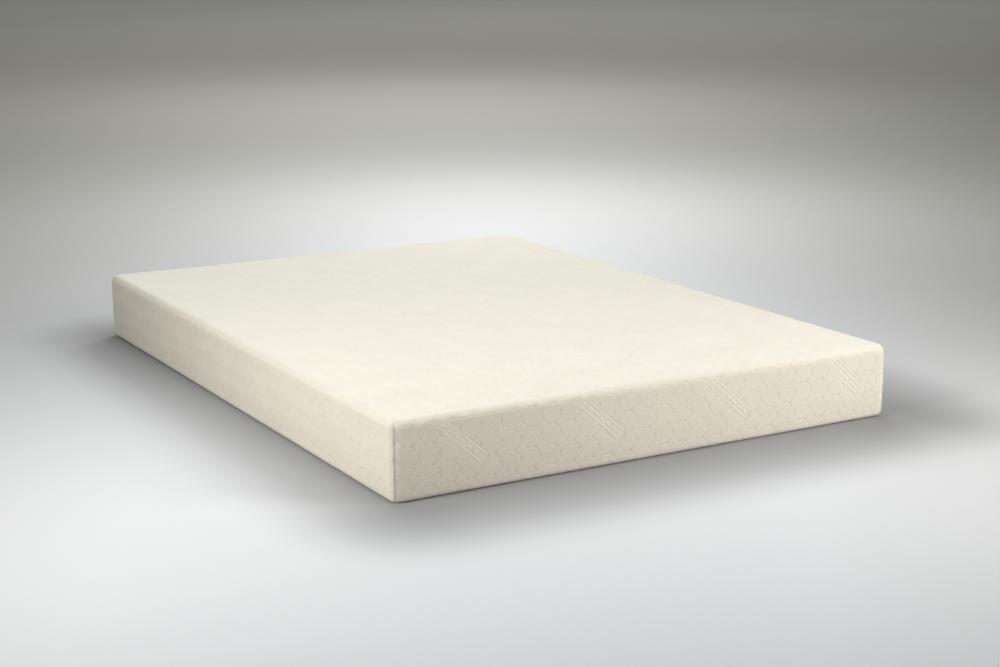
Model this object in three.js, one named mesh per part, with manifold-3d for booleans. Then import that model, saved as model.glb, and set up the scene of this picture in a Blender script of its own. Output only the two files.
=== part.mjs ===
// Memory foam mattress, queen size: a two-layer foam core in a knitted fire sock, inside a zip-off
// fabric cover. Millimetres, +Z up. X runs across the bed, +Y points to the head end, and the
// origin is the middle of the underside.
import * as THREE from 'three';
import { mergeVertices } from 'three/addons/utils/BufferGeometryUtils.js';
import Module from 'manifold-3d';

// ---------- driving dimensions ----------
const WIDTH = 1524;                 // 60 in
const LENGTH = 2032;                // 80 in
const HEIGHT = 203;                 // 8 in
const CORNER_R = 30;                // upright corners, seen from above
const EDGE_R = 16;                  // top and bottom edges

const COVER_T = 3;                  // filled knit of the cover
const SOCK_T = 1;                   // fire sock
const TAPE_T = 0.8;                 // binding tape over the base seam
const GAP = 0.3;                    // between pieces that touch
const COMFORT_T = 64;               // viscoelastic layer, 2.5 in

const RETURN_W = 45;                // how far the cover turns in under the mattress
const BINDING_W = 24;               // binding tape, centred on the base seam

const ZIP_Z = 36;                   // middle of the zip above the floor, on the head end
const ZIP_LENGTH = 1384;            // slot in the cover, end to end
const ZIP_SLOT_H = 14;              // slot in the cover, top to bottom
const ZIP_ROOM = 4.7;               // free space behind the head panel for the zip
const MESH_GAP = 1.6;               // between the two coils, where their loops interlock
const COIL_W = 2.4;
const COIL_T = 2.2;
const ZIP_TAPE_W = 13;
const ZIP_TAPE_T = 0.7;

const SLIDER_X = -678;              // slider at the closed end of the zip
const SLIDER_LENGTH = 12;
const PULL_LENGTH = 26;

// ---------- worked out from them ----------
const HEAD_Y = LENGTH / 2;                                  // outer face of the head end
const HEAD_INNER_Y = HEAD_Y - COVER_T;                      // inner face of the head panel
const SOCK_BOTTOM = COVER_T + GAP + TAPE_T + GAP;
const SOCK_TOP = HEIGHT - COVER_T - GAP;
const SOCK_SIDE = COVER_T + GAP;                            // cover's outside to sock's outside
const CORE_SIDE = SOCK_SIDE + SOCK_T + GAP;
const CORE_BOTTOM = SOCK_BOTTOM + SOCK_T + GAP;
const CORE_TOP = SOCK_TOP - SOCK_T - GAP;
const GLUE_LINE = CORE_TOP - COMFORT_T - GAP / 2;
const ZIP_SHORTEN = ZIP_ROOM - GAP;                         // the core stops this much earlier at the head
const TAPE_Y = HEAD_INNER_Y - 0.4 - ZIP_TAPE_T;             // inner face of the zip tapes
const COIL_Y = TAPE_Y + ZIP_TAPE_T + GAP;                   // inner face of the coils

const wasm = await Module();
wasm.setup();

// ---------- materials ----------
function finish(colour, roughness, metalness = 0) {
  return new THREE.MeshStandardMaterial({ color: colour, roughness, metalness });
}
const coverKnit = finish(0xebe5d6, 0.9);
const baseKnit = finish(0xd9d5ca, 0.9);
const seamThread = finish(0xe6dfcd, 0.85);
const sockKnit = finish(0xf2f0ea, 0.95);
const supportFoam = finish(0xf1ecd9, 0.95);
const comfortFoam = finish(0xf6f1e2, 0.9);
const zipTape = finish(0xe3dccb, 0.85);
const zipNylon = finish(0xe8e2d3, 0.45);
const zinc = finish(0xb9b9b6, 0.35, 0.9);
const labelCloth = finish(0xf4f4f1, 0.8);

const mattress = new THREE.Group();

function addPiece(name, geometry, material) {
  const mesh = new THREE.Mesh(geometry, material);
  mesh.name = name;
  mattress.add(mesh);
  return mesh;
}

// ---------- joining and cutting ----------
function toSolid(geometry) {
  const bare = geometry.clone();
  bare.deleteAttribute('normal');
  bare.deleteAttribute('uv');
  const merged = mergeVertices(bare, 1e-4);
  return new wasm.Manifold(new wasm.Mesh({
    numProp: 3,
    vertProperties: new Float32Array(merged.attributes.position.array),
    triVerts: new Uint32Array(merged.index.array),
  }));
}

function toGeometry(solid) {
  const mesh = solid.getMesh();
  const geometry = new THREE.BufferGeometry();
  geometry.setAttribute('position', new THREE.BufferAttribute(new Float32Array(mesh.vertProperties), 3));
  geometry.setIndex(new THREE.BufferAttribute(new Uint32Array(mesh.triVerts), 1));
  geometry.computeVertexNormals();
  return geometry;
}

function cut(geometry, ...tools) {
  return toGeometry(tools.reduce((solid, tool) => solid.subtract(toSolid(tool)), toSolid(geometry)));
}

function join(geometry, ...others) {
  return toGeometry(others.reduce((solid, other) => solid.add(toSolid(other)), toSolid(geometry)));
}

// ---------- basic shapes ----------
function block(low, high) {
  const [x0, y0, z0] = low;
  const [x1, y1, z1] = high;
  const geometry = new THREE.BoxGeometry(x1 - x0, y1 - y0, z1 - z0);
  return geometry.translate((x0 + x1) / 2, (y0 + y1) / 2, (z0 + z1) / 2);
}

// A rounded rectangle around the middle of the X-Y plane.
function roundedRectangle(width, length, radius) {
  const x = width / 2;
  const y = length / 2;
  const shape = new THREE.Shape();
  shape.absarc(x - radius, -y + radius, radius, -Math.PI / 2, 0);
  shape.absarc(x - radius, y - radius, radius, 0, Math.PI / 2);
  shape.absarc(-x + radius, y - radius, radius, Math.PI / 2, Math.PI);
  shape.absarc(-x + radius, -y + radius, radius, Math.PI, 1.5 * Math.PI);
  return shape;
}

// A slab with rounded upright corners and rounded top and bottom edges, `inset` smaller than the
// cover's outside all round and `shorten` less at the head end.
function slab(inset, bottom, top, shorten = 0) {
  const edge = EDGE_R - inset;
  const outline = roundedRectangle(WIDTH - 2 * inset, LENGTH - 2 * inset - shorten, CORNER_R - inset);
  const geometry = new THREE.ExtrudeGeometry(outline, {
    depth: top - bottom - 2 * edge,
    curveSegments: 6,
    bevelThickness: edge,
    bevelSize: edge,
    bevelOffset: -edge,
    bevelSegments: 4,
  });
  return geometry.translate(0, -shorten / 2, bottom + edge);
}

// A flat plate of a shape drawn in X-Z, from y0 outwards by its thickness.
function headPlate(shape, y0, thickness) {
  const geometry = new THREE.ExtrudeGeometry(shape, { depth: thickness, bevelEnabled: false, curveSegments: 8 });
  return geometry.rotateX(Math.PI / 2).translate(0, y0 + thickness, 0);
}

// ---------- foam core: two blocks glued face to face ----------
function makeCore() {
  const whole = slab(CORE_SIDE, CORE_BOTTOM, CORE_TOP, ZIP_SHORTEN);
  const far = WIDTH + LENGTH;
  const above = block([-far, -far, GLUE_LINE - GAP / 2], [far, far, HEIGHT + far]);
  const below = block([-far, -far, -far], [far, far, GLUE_LINE + GAP / 2]);
  addPiece('base_foam', cut(whole, above), supportFoam);
  addPiece('comfort_foam', cut(whole, below), comfortFoam);
}

// ---------- fire sock: knitted sleeve round the core, gathered mouth at the head end ----------
const MOUTH_W = 180;
const MOUTH_H = 50;
function makeSock() {
  const outside = slab(SOCK_SIDE, SOCK_BOTTOM, SOCK_TOP, ZIP_SHORTEN);
  const inside = slab(SOCK_SIDE + SOCK_T, SOCK_BOTTOM + SOCK_T, SOCK_TOP - SOCK_T, ZIP_SHORTEN);
  const middle = HEIGHT / 2;
  const mouth = block(
    [-MOUTH_W / 2, HEAD_Y - 100, middle - MOUTH_H / 2],
    [MOUTH_W / 2, HEAD_Y + 100, middle + MOUTH_H / 2],
  );
  addPiece('fire_sock', cut(outside, inside, mouth), sockKnit);
}

// ---------- cover: top and skirts in one cloth, turned in underneath, slit for the zip ----------
function makeCover() {
  const outside = slab(0, 0, HEIGHT);
  const inside = slab(COVER_T, COVER_T, HEIGHT - COVER_T);
  const seamX = WIDTH / 2 - RETURN_W;
  const seamY = LENGTH / 2 - RETURN_W;
  const underside = block([-seamX, -seamY, -10], [seamX, seamY, COVER_T + 10]);
  const zipSlot = block(
    [-ZIP_LENGTH / 2, HEAD_INNER_Y - 10, ZIP_Z - ZIP_SLOT_H / 2],
    [ZIP_LENGTH / 2, HEAD_Y + 10, ZIP_Z + ZIP_SLOT_H / 2],
  );
  addPiece('cover_shell', cut(outside, inside, underside, zipSlot), coverKnit);
  addPiece(
    'cover_base',
    block([-seamX + GAP, -seamY + GAP, 0], [seamX - GAP, seamY - GAP, COVER_T]),
    baseKnit,
  );
  const bindingBottom = COVER_T + GAP;
  const ring = roundedRectangle(2 * seamX + BINDING_W, 2 * seamY + BINDING_W, BINDING_W / 2);
  const hole = roundedRectangle(2 * seamX - BINDING_W, 2 * seamY - BINDING_W, 2);
  ring.holes.push(new THREE.Path(hole.getPoints(6).reverse()));
  const binding = new THREE.ExtrudeGeometry(ring, { depth: TAPE_T, bevelEnabled: false, curveSegments: 6 });
  addPiece('base_seam_binding', binding.translate(0, 0, bindingBottom), seamThread);
}

// ---------- corner seams: the skirts are sewn to each other at the four upright corners ----------
const SEAM_W = 5;
const SEAM_T = 2;
function makeCornerSeams() {
  const ends = { foot: -1, head: 1 };
  const sides = { left: -1, right: 1 };
  for (const [end, alongY] of Object.entries(ends)) {
    for (const [side, alongX] of Object.entries(sides)) {
      const height = HEIGHT - 2 * EDGE_R - 2;
      const ridge = new THREE.CapsuleGeometry(SEAM_W / 2, height - SEAM_W, 4, 10);
      ridge.rotateX(Math.PI / 2).scale(1, SEAM_T / SEAM_W, 1);
      ridge.rotateZ(Math.atan2(alongY, alongX) + Math.PI / 2);
      const out = CORNER_R + SEAM_T / 2 + GAP;
      ridge.translate(
        alongX * (WIDTH / 2 - CORNER_R + out * Math.SQRT1_2),
        alongY * (LENGTH / 2 - CORNER_R + out * Math.SQRT1_2),
        HEIGHT / 2,
      );
      addPiece(`corner_seam_${end}_${side}`, ridge, seamThread);
    }
  }
}

// ---------- zip: two tapes behind the slot, each with its coil, and a strip behind them ----------
const CHAIN_LENGTH = ZIP_LENGTH - 10;
function makeZipChain() {
  for (const [side, sign] of [['upper', 1], ['lower', -1]]) {
    const inner = ZIP_Z + sign * MESH_GAP / 2;
    const tapeEdge = inner + sign * ZIP_TAPE_W;
    const coilEdge = inner + sign * COIL_W;
    addPiece(
      `zip_tape_${side}`,
      block(
        [-ZIP_LENGTH / 2 - 8, TAPE_Y, Math.min(inner, tapeEdge)],
        [ZIP_LENGTH / 2 + 8, TAPE_Y + ZIP_TAPE_T, Math.max(inner, tapeEdge)],
      ),
      zipTape,
    );
    addPiece(
      `zip_coil_${side}`,
      block(
        [-CHAIN_LENGTH / 2, COIL_Y, Math.min(inner, coilEdge)],
        [CHAIN_LENGTH / 2, COIL_Y + COIL_T, Math.max(inner, coilEdge)],
      ),
      zipNylon,
    );
  }
  const guardFace = TAPE_Y - 1.6 - GAP * 2;
  addPiece(
    'zip_guard',
    block([-ZIP_LENGTH / 2 - 8, guardFace - 0.8, ZIP_Z - 20], [ZIP_LENGTH / 2 + 8, guardFace, ZIP_Z + 20]),
    zipTape,
  );
}

const STOP_LENGTH = 3.2;
const END_TAB = { length: 22, height: 20, thickness: 0.8 };
function makeZipEnds() {
  for (const [end, side, sign] of [['top', 'left', -1], ['bottom', 'right', 1]]) {
    const stopNear = sign * (CHAIN_LENGTH / 2 + GAP);
    const stopFar = stopNear + sign * STOP_LENGTH;
    addPiece(
      `zip_${end}_stop`,
      block(
        [Math.min(stopNear, stopFar), COIL_Y, ZIP_Z - 3.4],
        [Math.max(stopNear, stopFar), COIL_Y + COIL_T, ZIP_Z + 3.4],
      ),
      zipNylon,
    );
    const tabNear = sign * (ZIP_LENGTH / 2 - 4);
    const tabFar = tabNear + sign * END_TAB.length;
    const tabY = HEAD_Y + GAP;
    addPiece(
      `zip_end_tab_${side}`,
      block(
        [Math.min(tabNear, tabFar), tabY, ZIP_Z - END_TAB.height / 2],
        [Math.max(tabNear, tabFar), tabY + END_TAB.thickness, ZIP_Z + END_TAB.height / 2],
      ),
      zipTape,
    );
  }
}

// ---------- slider: two plates joined by a post between the coils, with flanges and a bridge ----------
const PLATE_T = 1.3;
const FLANGE_Z = 3.7;               // inner face of the flanges from the zip's middle
const FLANGE_T = 1.1;
const BRIDGE_W = 1.6;
const BRIDGE_BAR = 1.2;
const BRIDGE_RISE = 2.2;            // clear height under the bridge
const BACK_PLATE_Y = TAPE_Y - GAP - PLATE_T;
const FRONT_PLATE_Y = COIL_Y + COIL_T + GAP;
const FRONT_FACE_Y = FRONT_PLATE_Y + PLATE_T;
const PULL_T = 1.4;
const PULL_Y = FRONT_FACE_Y + BRIDGE_RISE / 2;   // axis of the pull's cross bar

// Shield-shaped plate: wide at the throats, narrower at the tail.
function shieldShape() {
  const half = SLIDER_LENGTH / 2;
  const wide = FLANGE_Z + FLANGE_T + 0.6;
  const narrow = FLANGE_Z + FLANGE_T;
  const shape = new THREE.Shape();
  shape.moveTo(-half + 1.5, -wide);
  shape.lineTo(half - 1.5, -narrow);
  shape.quadraticCurveTo(half, -narrow, half, -narrow + 1.5);
  shape.lineTo(half, narrow - 1.5);
  shape.quadraticCurveTo(half, narrow, half - 1.5, narrow);
  shape.lineTo(-half + 1.5, wide);
  shape.quadraticCurveTo(-half, wide, -half, wide - 1.5);
  shape.quadraticCurveTo(-half + 2, 0, -half, -wide + 1.5);
  shape.quadraticCurveTo(-half, -wide, -half + 1.5, -wide);
  return shape;
}

function makeSlider() {
  const half = SLIDER_LENGTH / 2;
  const front = headPlate(shieldShape(), FRONT_PLATE_Y, PLATE_T);
  const back = headPlate(shieldShape(), BACK_PLATE_Y, PLATE_T);
  const postHalf = MESH_GAP / 2 - GAP;
  const post = block([-half + 1.2, BACK_PLATE_Y + 0.5, -postHalf], [-half + 4.2, FRONT_PLATE_Y + 0.5, postHalf]);
  const parts = [back, post];
  for (const sign of [-1, 1]) {
    const z0 = sign * FLANGE_Z;
    const z1 = sign * (FLANGE_Z + FLANGE_T);
    const zs = [Math.min(z0, z1), Math.max(z0, z1)];
    const tapeFace = TAPE_Y + ZIP_TAPE_T + GAP;
    parts.push(block([-half + 2, tapeFace, zs[0]], [half - 0.5, FRONT_PLATE_Y + 0.5, zs[1]]));
    parts.push(block(
      [sign * 4 - BRIDGE_BAR / 2, FRONT_FACE_Y - 0.5, -BRIDGE_W / 2],
      [sign * 4 + BRIDGE_BAR / 2, FRONT_FACE_Y + BRIDGE_RISE + BRIDGE_BAR / 2, BRIDGE_W / 2],
    ));
  }
  parts.push(block(
    [-4 - BRIDGE_BAR / 2, FRONT_FACE_Y + BRIDGE_RISE, -BRIDGE_W / 2],
    [4 + BRIDGE_BAR / 2, FRONT_FACE_Y + BRIDGE_RISE + BRIDGE_BAR, BRIDGE_W / 2],
  ));
  const slider = addPiece('zip_slider', join(front, ...parts), zinc);
  slider.position.set(SLIDER_X, 0, ZIP_Z);
}

// ---------- pull: a flat tag whose eye passes under the slider's bridge ----------
const PULL_BAR_X = 1;               // cross bar, from the slider's middle
const PULL_W = 7;
const EYE_W = 3.6;
const EYE_LENGTH = 7;
function makePull() {
  const tag = new THREE.Shape();
  const half = PULL_W / 2;
  const bar = PULL_T / 2;
  tag.moveTo(-bar, -half + 1);
  tag.quadraticCurveTo(-bar, -half, -bar + 1, -half);
  tag.lineTo(PULL_LENGTH - half, -half * 0.8);
  tag.absarc(PULL_LENGTH - half, 0, half * 0.8, -Math.PI / 2, Math.PI / 2);
  tag.lineTo(-bar + 1, half);
  tag.quadraticCurveTo(-bar, half, -bar, half - 1);
  const eye = [[bar, -EYE_W / 2], [EYE_LENGTH, -EYE_W / 2], [EYE_LENGTH, EYE_W / 2], [bar, EYE_W / 2]];
  tag.holes.push(new THREE.Path(eye.map(([x, z]) => new THREE.Vector2(x, z))));
  const geometry = headPlate(tag, -PULL_T / 2, PULL_T);
  const pull = addPiece('zip_pull', geometry, zinc);
  pull.position.set(SLIDER_X + PULL_BAR_X, PULL_Y, ZIP_Z);
}

// ---------- labels: blank cloth, sewn flat to the head panel above the zip ----------
function makeLabels() {
  const labels = [
    ['law_label', 110, 80, -560],
    ['care_label', 42, 62, -452],
  ];
  for (const [name, width, height, x] of labels) {
    const bottom = ZIP_Z + 26;
    const y = HEAD_Y + GAP;
    addPiece(name, block([x - width / 2, y, bottom], [x + width / 2, y + 0.4, bottom + height]), labelCloth);
  }
}

makeCore();
makeSock();
makeCover();
makeCornerSeams();
makeZipChain();
makeZipEnds();
makeSlider();
makePull();
makeLabels();

export default mattress;
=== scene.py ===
import math

import bmesh
import bpy
import numpy as np
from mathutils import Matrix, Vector, geometry


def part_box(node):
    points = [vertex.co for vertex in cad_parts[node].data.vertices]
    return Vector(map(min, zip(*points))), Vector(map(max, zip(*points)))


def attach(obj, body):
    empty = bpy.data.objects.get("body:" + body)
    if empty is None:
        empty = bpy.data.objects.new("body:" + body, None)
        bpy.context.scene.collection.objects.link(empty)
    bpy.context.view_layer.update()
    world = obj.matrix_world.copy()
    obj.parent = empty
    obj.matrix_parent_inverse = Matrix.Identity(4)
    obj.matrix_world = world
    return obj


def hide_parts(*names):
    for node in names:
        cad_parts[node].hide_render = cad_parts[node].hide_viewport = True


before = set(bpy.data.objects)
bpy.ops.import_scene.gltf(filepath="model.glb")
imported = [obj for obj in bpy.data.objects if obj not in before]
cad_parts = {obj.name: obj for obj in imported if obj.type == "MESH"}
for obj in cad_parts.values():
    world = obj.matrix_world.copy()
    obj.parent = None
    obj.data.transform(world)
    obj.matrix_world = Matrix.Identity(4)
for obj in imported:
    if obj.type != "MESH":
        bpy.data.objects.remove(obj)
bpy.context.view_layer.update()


# ---------------------------------------------------------------- camera
# The mattress lies on a studio floor and is looked at over its left foot corner, from a little
# above. The camera stands 1.33 m over the floor and is level from side to side.
camera = bpy.data.objects.new("camera", bpy.data.cameras.new("camera"))
bpy.context.collection.objects.link(camera)
bpy.context.scene.camera = camera
camera.location = (-2.534, -4.530, 1.333)
heading = math.radians(-30.42)
tilt_down = math.radians(13.17)
camera.rotation_euler = (math.pi / 2 - tilt_down, 0, heading)
camera.data.lens = 63.6
camera.data.sensor_width = 36


# ---------------------------------------------------------------- cover
# Zip-off cover in one filled double knit: the top and the four skirts are one cross-shaped cut
# that folds down over the foam, turns in underneath and is sewn up the corners. The knit stands
# up in rings round a diamond lattice, with slanted bands of plain ground and lozenges between.
shell_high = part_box("cover_shell")[1]
half_width = shell_high.x
half_length = shell_high.y
height = shell_high.z
turned_in = 0.045
skirt = height + turned_in
corner_radius = 0.026
top_radius = 0.021
bottom_radius = 0.015
belly = 0.0025
widest_at = 0.62
cloth_thickness = 0.0034
cut_step = 0.005
lining_step = 0.010

ring_pitch = 0.0057
cell_u, cell_v = 0.0565, 0.052
disc_radius = 4.5 * ring_pitch
first_u = -half_width + 0.042
first_v = -half_length - 0.041
relief = 0.0023

slot_half_length = 0.692
slot_half_height = 0.007
slot_v = half_length + height - 0.036
hem_depth, slot_hem_depth = 0.0024, 0.0010
held_width, held_ease = 0.016, 0.004
held_depth, held_lining_depth = 0.0005, 0.0013
resting_depth, resting_ease = 0.0004, 0.010
groove_depth, groove_half = 0.0005, 0.006
pucker_depth, pucker_pitch, pucker_reach = 0.0014, 0.0115, 0.010
wave_height = 0.0003
weld_cell = 0.0004

band_length, band_half = 0.182, 0.017
band_slope = math.radians(-41.4)
band_repeat_u, band_repeat_v = 7 * cell_u, 7.5 * cell_v
rib_across, rib_half = 0.0115, 0.0022
lozenge_long, lozenge_wide = 0.0090, 0.0062
lozenge_places = 0.022 + 0.023 * np.arange(7)


def outside_slot(u, v):
    """How far each point of the flat cloth is outside the zip's slot; below zero it is in it."""
    return np.maximum(np.abs(u) - slot_half_length, np.abs(v - slot_v) - slot_half_height)


def cloth_room(u, v):
    """How far each point of the flat cloth is inside its cut edge; below zero it is outside."""
    au, av = np.abs(u), np.abs(v)
    past_u, past_v = au - half_width, av - half_length
    mitre_u = half_length - av - np.maximum(0, past_u - height)
    mitre_v = half_width - au - np.maximum(0, past_v - height)
    side = np.minimum(skirt - past_u, mitre_u)
    end = np.minimum(skirt - past_v, mitre_v)
    return np.minimum(np.maximum(side, end), outside_slot(u, v))


def band_starts():
    """Upper left end of every slanted band, row by row over the flat cloth."""
    starts = []
    for row in range(-2, 8):
        for column in range(-3, 4):
            start_u = first_u + 0.080 + (column + 0.5 * (row % 2)) * band_repeat_u
            starts.append((start_u, -half_length - 0.016 + row * band_repeat_v))
    return np.array(starts)


def band_place(u, v):
    """Place along and across the nearest slanted band, and how far outside it the point is."""
    nearest = np.full(len(u), 9.0)
    along, across = np.zeros(len(u)), np.zeros(len(u))
    c, s = math.cos(band_slope), math.sin(band_slope)
    for start_u, start_v in band_starts():
        du, dv = u - start_u, v - start_v
        a, b = du * c + dv * s, -du * s + dv * c
        past_end = np.maximum(0, np.abs(a - band_length / 2) - band_length / 2 + band_half)
        outside = np.hypot(past_end, b) - band_half
        closer = outside < nearest
        nearest[closer], along[closer], across[closer] = outside[closer], a[closer], b[closer]
    return along, across, nearest


def ring_height(u, v):
    """Height of the ring relief, from 0 in a groove to 1 on a ring.

    The small rings between the discs are a little flatter than the discs' own.
    """
    du, dv = u - first_u, v - first_v
    big = np.hypot(du - cell_u * np.round(du / cell_u), dv - cell_v * np.round(dv / cell_v))
    du, dv = du - cell_u / 2, dv - cell_v / 2
    small = np.hypot(du - cell_u * np.round(du / cell_u), dv - cell_v * np.round(dv / cell_v))
    on_disc = big < disc_radius + 1e-4
    wave = 0.5 * np.cos(2 * math.pi * np.where(on_disc, big, small) / ring_pitch)
    flatter = 0.35 * np.clip((big - disc_radius) / 0.0016, 0, 1)
    return 0.5 + (1 - flatter) * wave


def band_height(along, across, outside):
    """Height inside a slanted band: plain ground, two ribs and a chain of lozenges."""
    rib = np.clip(1 - np.abs(np.abs(across) - rib_across) / rib_half, 0, 1)
    rib *= np.clip((np.minimum(along, band_length - along) - 0.010) / 0.004, 0, 1)
    nearest = np.abs(along[:, None] - lozenge_places[None]).min(1)
    lozenge = np.clip((1 - nearest / lozenge_long - np.abs(across) / lozenge_wide) / 0.4, 0, 1)
    ground = 0.35 * np.clip(-outside / 0.002, 0, 1)
    return ground + np.maximum(0.65 * rib, 0.45 * lozenge)


def closed_edges(count):
    """The edges of one closed loop of count points."""
    return np.stack([np.arange(count), np.roll(np.arange(count), -1)], 1)


def circle_points(radius, turn):
    """Points round one ring, at about even steps."""
    count = max(6, round(2 * math.pi * radius / cut_step))
    angle = np.arange(count) * 2 * math.pi / count + turn
    return np.stack([radius * np.cos(angle), radius * np.sin(angle)], 1)


def cut_line(corners, step=cut_step):
    """Points along a closed outline, at even steps on each straight stretch."""
    points = []
    for a, b in zip(corners, corners[1:] + corners[:1]):
        a, b = np.array(a), np.array(b)
        count = max(1, round(float(np.hypot(*(b - a))) / step))
        points += [a + (b - a) * i / count for i in range(count)]
    return np.array(points)


def one_motif(loops, keep=None):
    """Numbers the points of several closed loops, leaving out the points that keep drops."""
    points, edges, count = [], [], 0
    for loop in loops:
        kept = np.ones(len(loop), bool) if keep is None else keep(loop)
        number = np.where(kept, count + np.cumsum(kept) - 1, -1)
        pair = np.stack([number, np.roll(number, -1)], 1)
        short = np.hypot(*(loop - np.roll(loop, -1, axis=0)).T) < 3 * cut_step
        edges.append(pair[(pair >= 0).all(1) & short])
        points.append(loop[kept])
        count += kept.sum()
    return np.concatenate(points), np.concatenate(edges)


def at_places(points, links, places):
    """The same points, with the edges or triangles that link them, again at each place."""
    every = np.arange(len(places))[:, None, None] * len(points)
    all_points = (places[:, None] + points[None]).reshape(-1, points.shape[1])
    return all_points, (every + links[None]).reshape(-1, links.shape[1])


def repeated(motif, places, turn=0.0):
    """The motif's points and edges, turned, again at each place."""
    points, edges = motif
    c, s = math.cos(turn), math.sin(turn)
    return at_places(points @ np.array([[c, s], [-s, c]]), edges, places)


def rings(count):
    """The crests and grooves of one disc, from its middle outwards."""
    centre = np.zeros((1, 2))
    return [centre] + [circle_points(k * ring_pitch / 2, 0.3 * k) for k in range(1, count + 1)]


def clear_of_discs(loop):
    """Which points of a small ring are outside the four big discs round it."""
    keep = np.ones(len(loop), bool)
    for side_u in (-cell_u / 2, cell_u / 2):
        for side_v in (-cell_v / 2, cell_v / 2):
            away = np.hypot(loop[:, 0] - side_u, loop[:, 1] - side_v)
            keep &= away > disc_radius + 0.0012
    return keep


def band_ground():
    """A grid of points that lets a slanted band's ground bend with the cloth."""
    along = np.arange(0.008, band_length - 0.006, 0.0057)
    across = (-0.0145, -0.0075, 0.0, 0.0075, 0.0145)
    grid = np.stack(np.meshgrid(along, across), -1).reshape(-1, 2)
    nearest = np.abs(grid[:, :1] - lozenge_places[None]).min(1)
    inside = nearest / lozenge_long + np.abs(grid[:, 1]) / lozenge_wide < 1.15
    return grid[~inside]


def band_outline():
    """The edge of one slanted band, its two ribs and its chain of lozenges, as closed loops."""
    half, far = band_half, band_length - band_half
    turn = np.linspace(-0.5, 0.5, 11)[:-1] * math.pi
    cap = np.stack([np.cos(turn), np.sin(turn)], 1) * half
    run = np.arange(half, far, cut_step)
    low_edge = np.stack([run, np.full(len(run), -half)], 1)
    edge = [low_edge, cap + (far, 0), -low_edge + (half + far, 0), -cap + (half, 0)]
    loops = [np.concatenate(edge)]
    for side in (-1, 1):
        for across in (rib_across - rib_half, rib_across + rib_half):
            step = np.arange(0.010, band_length - 0.010, cut_step)
            loops.append(np.stack([step, np.full(len(step), side * across)], 1))
        step = step[:-1] + cut_step / 2
        loops.append(np.stack([step, np.full(len(step), side * rib_across)], 1))
    for at in lozenge_places:
        for size in (1.0, 0.6):
            long, wide = size * lozenge_long, size * lozenge_wide
            loops.append(cut_line([(at - long, 0), (at, -wide), (at + long, 0), (at, wide)], 0.006))
    return loops


def lattice(shift_u, shift_v):
    """The middles of the discs over the whole cut, shifted by part of a cell."""
    reach_u, reach_v = 2 * (half_width + skirt), 2 * (half_length + skirt)
    us = first_u + shift_u + cell_u * np.arange(-10, 2 + int(reach_u / cell_u))
    vs = first_v + shift_v + cell_v * np.arange(-10, 2 + int(reach_v / cell_v))
    grid = np.stack(np.meshgrid(us, vs), -1).reshape(-1, 2)
    return grid[cloth_room(grid[:, 0], grid[:, 1]) > -0.03]


def cross_outline():
    """The cut edge of the cross: the top, four skirts and their turned-in, mitred flaps."""
    w, l, h, e, t = half_width, half_length, height, skirt, turned_in
    corners = [(w, -l), (w + h, -l), (w + e, -l + t), (w + e, l - t), (w + h, l)]
    corners += [(w, l), (w, l + h), (w - t, l + e), (-w + t, l + e), (-w, l + h), (-w, l)]
    corners += [(-w - h, l), (-w - e, l - t), (-w - e, -l + t), (-w - h, -l), (-w, -l)]
    corners += [(-w, -l - h), (-w + t, -l - e), (w - t, -l - e), (w, -l - h)]
    return cut_line(corners)


def slot_outline():
    """The cut edge of the zip's slot in the head skirt."""
    a, b = slot_half_length, slot_half_height
    return cut_line([(-a, slot_v - b), (-a, slot_v + b), (a, slot_v + b), (a, slot_v - b)], 0.0035)


def triangulate(points, edges):
    """Flat triangles between the lines, inside the cross and outside the zip's slot."""
    vectors = [Vector(p) for p in points.tolist()]
    flat = geometry.delaunay_2d_cdt(vectors, edges.tolist(), [], 0, 1e-7, False)
    place = np.array([tuple(v) for v in flat[0]])
    faces = np.array(flat[2])
    middle = place[faces].mean(1)
    return place, faces[cloth_room(middle[:, 0], middle[:, 1]) > 1e-6]


def eased(inward, from_edge, radius):
    """Turns the square edge between two faces into a quarter round: who is on it, and where."""
    a, b = np.maximum(radius - inward, 0), np.maximum(radius - from_edge, 0)
    scale = np.maximum(a, b) / np.maximum(np.hypot(a, b), 1e-9)
    return (a > 0) & (b > 0), a * scale, b * scale


def fold(place):
    """Folds the flat cloth over the foam block: each point's place, and its outward direction."""
    u, v = place[:, 0], place[:, 1]
    past_u, past_v = np.abs(u) - half_width, np.abs(v) - half_length
    down = np.maximum(0, past_u) + np.maximum(0, past_v)
    under = np.maximum(0, down - height)
    x = np.sign(u) * (np.minimum(np.abs(u), half_width) - np.where(past_u > 0, under, 0))
    y = np.sign(v) * (np.minimum(np.abs(v), half_length) - np.where(past_v > 0, under, 0))
    z = height - np.minimum(down, height)
    core_x = np.clip(x, corner_radius - half_width, half_width - corner_radius)
    core_y = np.clip(y, corner_radius - half_length, half_length - corner_radius)
    dx, dy = x - core_x, y - core_y
    length = np.maximum(np.hypot(dx, dy), 1e-9)
    inward = corner_radius - np.maximum(np.abs(dx), np.abs(dy))
    out_z = np.where(down < 1e-9, 1.0, np.where(under > 0, -1.0, 0.0))
    out_side = 1 - np.abs(out_z)
    for radius, from_edge, sign in ((top_radius, height - z, 1), (bottom_radius, z, -1)):
        near, a, b = eased(inward, from_edge, radius)
        inward = np.where(near, radius - a, inward)
        z = np.where(near, height - (radius - b) if sign > 0 else radius - b, z)
        out_side = np.where(near, a / radius, out_side)
        out_z = np.where(near, sign * b / radius, out_z)
    side = np.clip(1 - inward / top_radius, 0, 1)
    swell = belly * (1 - ((z / height - widest_at) / widest_at) ** 2) * side - belly
    reach = corner_radius - inward + swell * side
    co = np.stack([core_x + dx / length * reach, core_y + dy / length * reach, z], 1)
    return co, np.stack([dx / length * out_side, dy / length * out_side, out_z], 1)


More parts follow.
